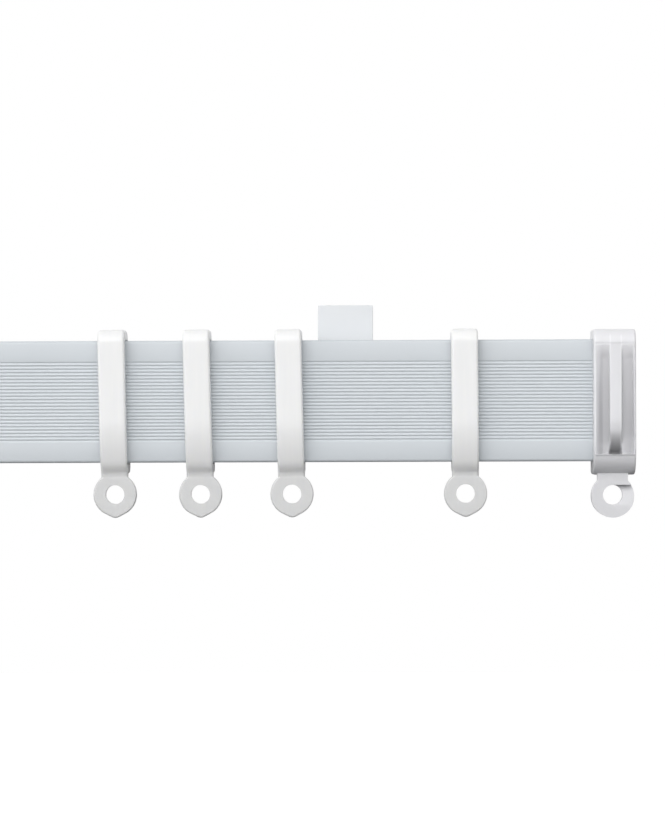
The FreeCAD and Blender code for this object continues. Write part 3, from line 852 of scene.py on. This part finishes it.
def lay_floor():
    """A plain pale floor that keeps a soft shadow and fades to white."""
    mesh = bpy.data.meshes.new("floor")
    corners = [(-1, -1), (1, -1), (1, 1), (-1, 1)]
    mesh.from_pydata([(x * floor_half, y * floor_half, -floor_drop) for x, y in corners], [], [(0, 1, 2, 3)])
    floor = bpy.data.objects.new("floor", mesh)
    bpy.context.scene.collection.objects.link(floor)
    material, tree = start_material("pale_floor")
    seen = seen_directly(tree)
    colour = add_node(tree, "ShaderNodeMix", {"data_type": "RGBA"}, {
        0: (seen, "Value"), 6: linear(floor_unseen), 7: linear(floor_seen)})
    matt = add_node(tree, "ShaderNodeBsdfDiffuse", feeds={"Color": (colour, 2)})
    place = add_node(tree, "ShaderNodeTexCoord")
    far = add_node(tree, "ShaderNodeVectorMath", {"operation": "LENGTH"}, {0: (place, "Object")})
    fade = add_node(tree, "ShaderNodeMapRange", {"interpolation_type": "SMOOTHSTEP"}, {
        "Value": (far, "Value"), "From Min": white_from, "From Max": white_at,
        "To Min": glow_near, "To Max": glow_far})
    lift = add_node(tree, "ShaderNodeMath", {"operation": "MULTIPLY"}, {
        0: (seen, "Value"), 1: (fade, "Result")})
    glow = add_node(tree, "ShaderNodeEmission", feeds={
        "Color": linear("ffffff"), "Strength": (lift, "Value")})
    both = add_node(tree, "ShaderNodeAddShader", feeds={0: (matt, "BSDF"), 1: (glow, "Emission")})
    add_node(tree, "ShaderNodeOutputMaterial", feeds={"Surface": (both, "Shader")})
    mesh.materials.append(material)
    return floor


pale_floor = lay_floor()
print(pale_floor.name, floor_drop, "m below the track")

# %% The lamp
key_place = (-0.5, -1.35, 0.95)
key_size = 1.2
key_power = 5


def hang_lamp(name, place, size, power):
    """A square soft lamp aimed at the track."""
    lamp = bpy.data.lights.new(name, "AREA")
    lamp.size = size
    lamp.energy = power
    holder = bpy.data.objects.new(name, lamp)
    bpy.context.scene.collection.objects.link(holder)
    holder.location = place
    holder.rotation_mode = "QUATERNION"
    holder.rotation_quaternion = (Vector((0, track_low.y, 0)) - Vector(place)).to_track_quat("-Z", "Y")
    return holder


key_lamp = hang_lamp("key", key_place, key_size, key_power)
print("key lamp of", key_lamp.data.energy, "W")

# %% [markdown]
# The camera
#
# The photograph was taken square to the track from about 0.9 m with a long lens: the brackets' depth
# barely shows, and the flutes stay parallel. The camera stands opposite the point where the picture's
# depth lines meet, is turned a little to the left and leans a fifth of a degree.

# %% Camera
camera_distance = 0.9
camera_across = 9.155 * mm
camera_height = -2.27 * mm
camera_turn = 0.766
camera_lean = -0.2
focal_pixels = 3925
long_side_pixels = 822
sensor = 36.0
nearest_seen = 0.05
farthest_seen = 50


def place_camera():
    """The view of the photograph."""
    lens = bpy.data.cameras.new("view")
    lens.sensor_width = sensor
    lens.lens = sensor * focal_pixels / long_side_pixels
    lens.clip_start = nearest_seen
    lens.clip_end = farthest_seen
    camera = bpy.data.objects.new("view", lens)
    bpy.context.scene.collection.objects.link(camera)
    turn = Matrix.Rotation(math.radians(camera_turn), 4, "Z")
    level = Matrix.Rotation(math.radians(90), 4, "X")
    lean = Matrix.Rotation(math.radians(camera_lean), 4, "Z")
    place = Matrix.Translation((camera_across, track_low.y - camera_distance, camera_height))
    camera.matrix_world = place @ turn @ level @ lean
    bpy.context.scene.camera = camera
    return camera


view = place_camera()
bpy.context.scene.view_settings.view_transform = "Standard"
print("lens", round(view.data.lens, 1), "mm")
